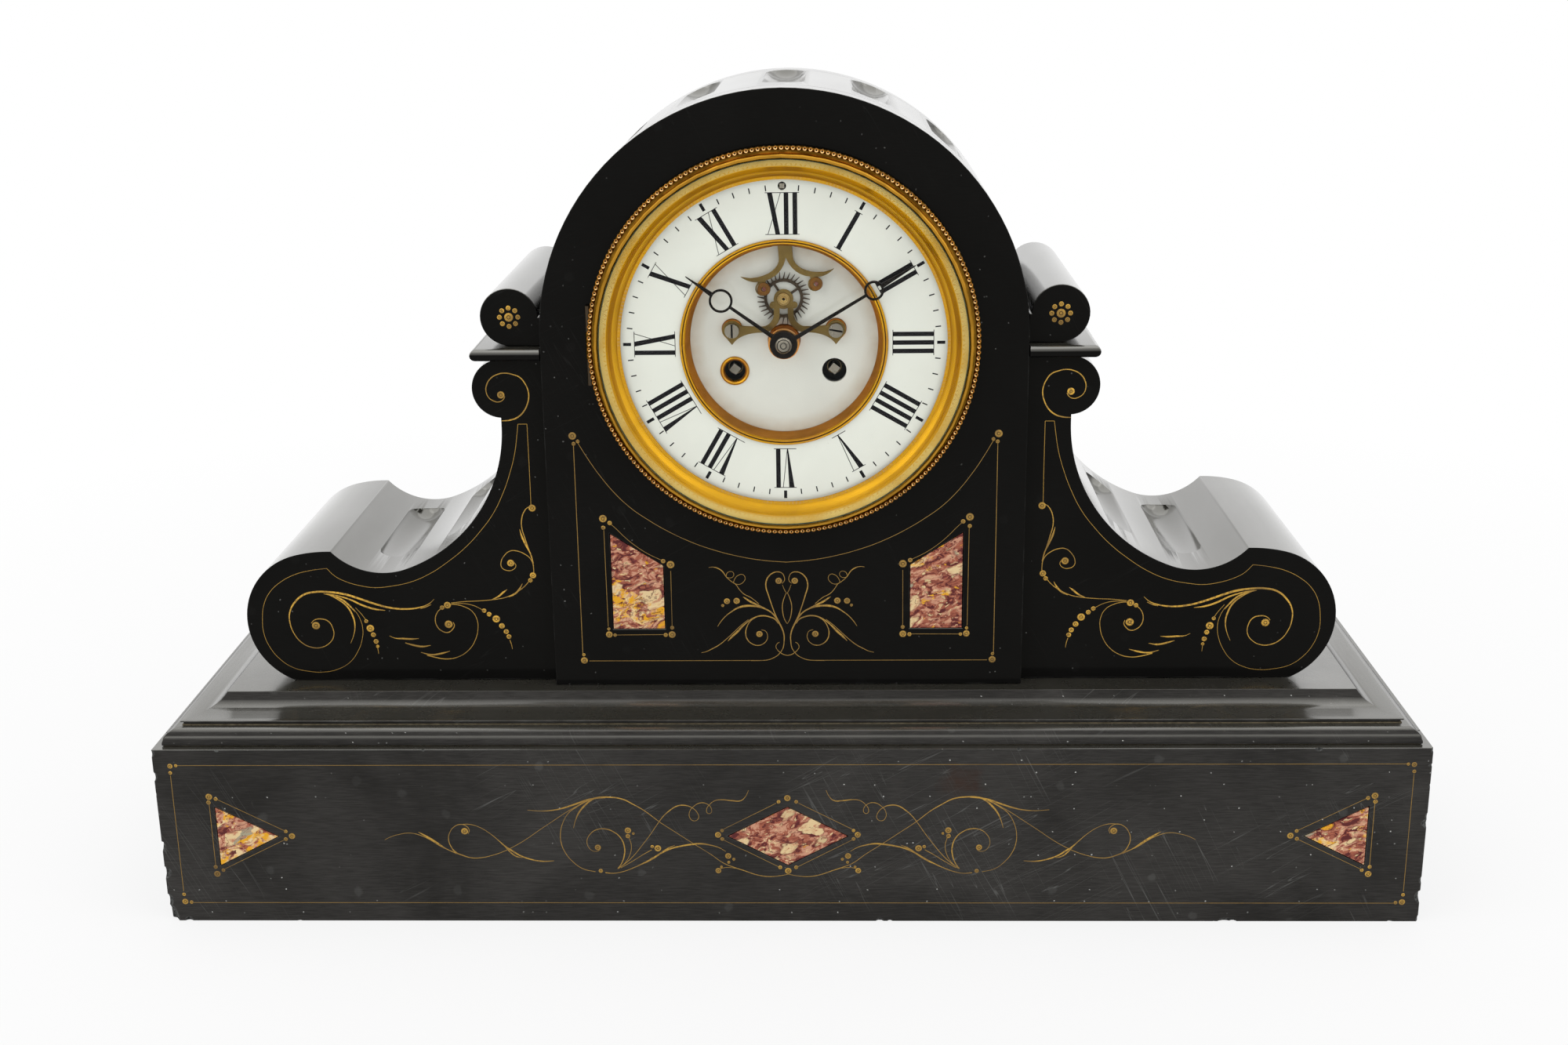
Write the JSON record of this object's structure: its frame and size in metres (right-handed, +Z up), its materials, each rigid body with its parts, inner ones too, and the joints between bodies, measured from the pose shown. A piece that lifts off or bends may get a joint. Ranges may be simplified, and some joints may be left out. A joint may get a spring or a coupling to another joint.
{
  "type": "mantel clock",
  "caption": "black slate mantel clock with a drum case between scrolls on a long plinth, a hinged bezel, a visible escapement, a pendulum movement and a bell",
  "frame": {"origin": "centre of the bounding box in plan, on the plane that the plinth stands on", "axes": "+X along the plinth to the right as seen from the front, +Y from the dial to the back, +Z up"},
  "size_m": [0.52, 0.156, 0.3376],
  "materials": {
    "slate": "polished",
    "marble": "polished, mottled",
    "gilt_brass": "burnished gilt",
    "brass": "satin, aged",
    "bell_metal": "turned",
    "steel": "polished",
    "blued_steel": "blued",
    "enamel": "gloss",
    "bevelled_glass": "clear, bevelled edge",
    "carnelian": "polished"
  },
  "bodies": {
    "case": {"plinth_front_slab": "slate", "left_plinth_slab": "slate", "right_plinth_slab": "slate", "plinth_back_slab": "slate", "torus_moulding_slab": "slate", "cove_moulding_slab": "slate", "drum_front_slab": "slate", "drum_back_slab": "slate", "left_drum_slab": "slate", "right_drum_slab": "slate", "drum_crown_slab": "slate", "left_scroll": "slate", "right_scroll": "slate", "left_shelf": "slate", "right_shelf": "slate", "left_roll": "slate", "right_roll": "slate", "plinth_left_marble": "marble", "plinth_right_marble": "marble", "plinth_centre_marble": "marble", "drum_left_marble": "marble", "drum_right_marble": "marble", "centre_ring": "gilt_brass", "left_winding_bush": "gilt_brass", "dial_pan": "brass", "escape_cock": "brass", "front_plate": "brass", "back_plate": "brass", "suspension_cock": "brass", "back_ring": "brass", "bell": "bell_metal", "left_cock_screw": "steel", "right_cock_screw": "steel", "chapter_ring": "enamel", "centre_dial": "enamel"},
    "bezel": {"bezel_ring": "gilt_brass", "bezel_glass": "bevelled_glass", "sight_ring": "gilt_brass"},
    "back_door": {"back_door": "brass"},
    "minute_hand": {"minute_hand": "blued_steel", "hand_nut": "brass", "centre_arbor": "steel"},
    "hour_hand": {"hour_hand": "blued_steel", "hour_pipe": "brass"},
    "minute_wheel": {"minute_wheel": "brass"},
    "escape_wheel": {"escape_wheel": "brass", "escape_arbor": "steel"},
    "pallets": {"pallet_anchor": "brass", "left_pallet_stone": "carnelian", "right_pallet_stone": "carnelian", "crutch_arbor": "steel"},
    "pendulum": {"pendulum_rod": "steel", "pendulum_bob": "brass", "rating_nut": "brass"},
    "going_barrel": {"going_barrel": "brass"},
    "strike_barrel": {"strike_barrel": "brass"},
    "going_winding_arbor": {"going_winding_arbor": "steel"},
    "strike_winding_arbor": {"strike_winding_arbor": "steel"},
    "regulator_arbor": {"regulator_arbor": "steel"},
    "bell_hammer": {"bell_hammer": "steel"}
  },
  "joints": [
    {"name": "bezel_hinge", "type": "hinge", "parent": "case", "child": "bezel", "pos_m": [-0.0772, -0.0478, 0.2383], "axis": [0, 0, -1], "range_deg": [0, 110]},
    {"name": "back_door_hinge", "type": "hinge", "parent": "case", "child": "back_door", "pos_m": [0.0646, 0.0732, 0.2383], "axis": [0, 0, -1], "range_deg": [0, 110]},
    {"name": "minute_turn", "type": "hinge", "parent": "case", "child": "minute_hand", "pos_m": [0, -0.0463, 0.2383], "axis": [0, 1, 0], "continuous": true},
    {"name": "hour_turn", "type": "hinge", "parent": "case", "child": "hour_hand", "pos_m": [0, -0.0463, 0.2383], "axis": [0, 1, 0], "continuous": true},
    {"name": "minute_wheel_turn", "type": "hinge", "parent": "case", "child": "minute_wheel", "pos_m": [0, -0.0463, 0.2263], "axis": [0, 1, 0], "continuous": true},
    {"name": "escape_wheel_turn", "type": "hinge", "parent": "case", "child": "escape_wheel", "pos_m": [0, -0.0463, 0.2553], "axis": [0, 1, 0], "continuous": true},
    {"name": "pallet_swing", "type": "hinge", "parent": "case", "child": "pallets", "pos_m": [0, -0.0463, 0.2853], "axis": [0, 1, 0], "range_deg": [-3, 3]},
    {"name": "pendulum_swing", "type": "hinge", "parent": "case", "child": "pendulum", "pos_m": [0, 0.0157, 0.2853], "axis": [0, 1, 0], "range_deg": [-3, 3]},
    {"name": "going_barrel_turn", "type": "hinge", "parent": "case", "child": "going_barrel", "pos_m": [0.02, -0.0463, 0.2258], "axis": [0, 1, 0], "continuous": true},
    {"name": "strike_barrel_turn", "type": "hinge", "parent": "case", "child": "strike_barrel", "pos_m": [-0.02, -0.0463, 0.2258], "axis": [0, 1, 0], "continuous": true},
    {"name": "going_winding", "type": "hinge", "parent": "case", "child": "going_winding_arbor", "pos_m": [0.02, -0.0463, 0.2258], "axis": [0, 1, 0], "continuous": true},
    {"name": "strike_winding", "type": "hinge", "parent": "case", "child": "strike_winding_arbor", "pos_m": [-0.02, -0.0463, 0.2258], "axis": [0, 1, 0], "continuous": true},
    {"name": "regulator_turn", "type": "hinge", "parent": "case", "child": "regulator_arbor", "pos_m": [0, -0.0463, 0.3003], "axis": [0, 1, 0], "range_deg": [-720, 720]},
    {"name": "hammer_swing", "type": "hinge", "parent": "case", "child": "bell_hammer", "pos_m": [-0.0389, 0.0085, 0.2203], "axis": [0, 1, 0], "range_deg": [-15, 0], "stiffness_Nm_per_rad": 0.03, "springref_deg": 11.46}
  ],
  "couplings": [
    {"joint": "hour_turn", "follows": "minute_turn", "ratio": 0.083333},
    {"joint": "minute_wheel_turn", "follows": "minute_turn", "ratio": -0.33333},
    {"joint": "pallet_swing", "follows": "pendulum_swing", "ratio": 1}
  ]
}
